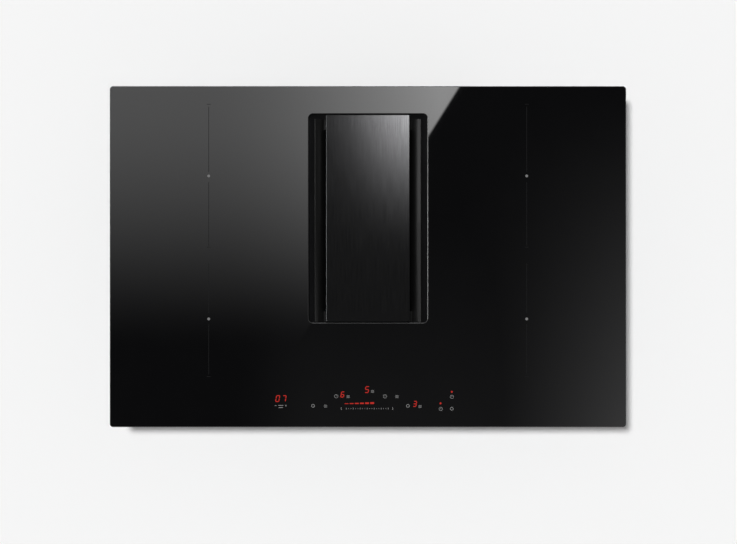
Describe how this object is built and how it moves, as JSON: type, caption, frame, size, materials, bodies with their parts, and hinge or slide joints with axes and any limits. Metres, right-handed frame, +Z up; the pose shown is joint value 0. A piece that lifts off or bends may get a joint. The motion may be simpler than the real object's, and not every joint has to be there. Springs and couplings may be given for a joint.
{
  "type": "downdraft induction cooktop",
  "caption": "Built-in black glass induction cooktop with a central downdraft inlet, lift-off cover, filter basket, drip tray, blower and rear flat-duct outlet.",
  "frame": {"origin": "middle of the glass in plan, in the plane of the worktop's surface, which is the underside of the perimeter seal", "axes": "+X to the user's right, +Y away from the user, +Z up; the glass stands above Z = 0 and the works hang below"},
  "size_m": [0.78, 0.515, 0.2042],
  "materials": {
    "black_glass": "polished glass-ceramic, black print behind",
    "foam_seal": "closed-cell foam, matt",
    "silicone": "moulded silicone",
    "galvanised_steel": "zinc coated, spangled",
    "spring_steel": "hardened strip",
    "screw_steel": "zinc plated",
    "aluminium_sheet": "mill finish",
    "extruded_aluminium": "extruded",
    "copper_litz": "enamelled litz wire",
    "ferrite": "pressed and fired",
    "mica": "mica sheet",
    "sensor_ceramic": "alumina",
    "circuit_board": "solder-masked glass fibre board",
    "capacitor_can": "sleeved can",
    "choke_winding": "wound toroid",
    "black_moulding": "moulded, fine grain",
    "grey_moulding": "moulded",
    "gloss_black_moulding": "gloss moulded",
    "display_block": "tinted resin",
    "cover_steel": "brushed, black coated",
    "filter_mesh": "layered expanded mesh",
    "motor_steel": "pressed steel",
    "laminations": "stacked electrical steel",
    "bearing_steel": "ground"
  },
  "bodies": {
    "casing": {"glass_top": "black_glass", "perimeter_seal": "foam_seal", "inlet_gasket": "silicone", "glass_support_frame": "galvanised_steel", "left_tray": "galvanised_steel", "right_tray": "galvanised_steel", "left_coil_plate": "aluminium_sheet", "right_coil_plate": "aluminium_sheet", "rear_coils": "copper_litz", "front_coils": "copper_litz", "ferrite_bars": "ferrite", "coil_insulation": "mica", "temperature_sensors": "sensor_ceramic", "coil_posts": "grey_moulding", "left_power_board": "circuit_board", "right_power_board": "circuit_board", "left_heat_sink": "extruded_aluminium", "right_heat_sink": "extruded_aluminium", "power_capacitors": "capacitor_can", "filter_chokes": "choke_winding", "left_fan_housing": "black_moulding", "right_fan_housing": "black_moulding", "control_holder": "black_moulding", "control_board": "circuit_board", "led_displays": "display_block", "touch_springs": "spring_steel", "inlet_well": "black_moulding", "drain_plug": "grey_moulding", "blower_upper_scroll": "black_moulding", "blower_lower_scroll": "black_moulding", "scroll_screws": "screw_steel", "motor_stator": "laminations", "motor_bracket": "motor_steel", "motor_grommets": "silicone", "motor_bearings": "bearing_steel", "motor_cap": "black_moulding", "exhaust_spigot": "black_moulding", "blower_hangers": "galvanised_steel", "front_bridge": "galvanised_steel", "driver_box": "black_moulding", "driver_board": "circuit_board", "terminal_housing": "grey_moulding", "terminal_block": "grey_moulding", "terminal_cover": "grey_moulding", "cable_gland": "grey_moulding", "spring_clips": "spring_steel", "casing_screws": "screw_steel"},
    "drip_tray": {"drip_tray": "black_moulding"},
    "filter_basket": {"filter_frame": "gloss_black_moulding", "left_filter_panel": "filter_mesh", "right_filter_panel": "filter_mesh"},
    "cover": {"cover_plate": "cover_steel", "cover_carrier": "black_moulding", "cover_pads": "silicone"},
    "blower_wheel": {"blower_impeller": "black_moulding", "motor_rotor": "motor_steel", "motor_shaft": "bearing_steel"},
    "left_fan_wheel": {"left_fan_impeller": "black_moulding"},
    "right_fan_wheel": {"right_fan_impeller": "black_moulding"}
  },
  "joints": [
    {"name": "drip_tray_lift", "type": "slide", "parent": "casing", "child": "drip_tray", "axis": [0, 0, 1], "range_m": [0, 0.13]},
    {"name": "basket_lift", "type": "slide", "parent": "drip_tray", "child": "filter_basket", "axis": [0, 0, 1], "range_m": [0, 0.11]},
    {"name": "cover_lift", "type": "slide", "parent": "filter_basket", "child": "cover", "axis": [0, 0, 1], "range_m": [0, 0.06]},
    {"name": "blower_spin", "type": "hinge", "parent": "casing", "child": "blower_wheel", "pos_m": [0, 0.048, -0.15], "axis": [0, 0, 1], "continuous": true},
    {"name": "left_fan_spin", "type": "hinge", "parent": "casing", "child": "left_fan_wheel", "pos_m": [-0.24, 0.1497, -0.045], "axis": [0, 0, 1], "continuous": true},
    {"name": "right_fan_spin", "type": "hinge", "parent": "casing", "child": "right_fan_wheel", "pos_m": [0.24, 0.1497, -0.045], "axis": [0, 0, 1], "continuous": true}
  ]
}
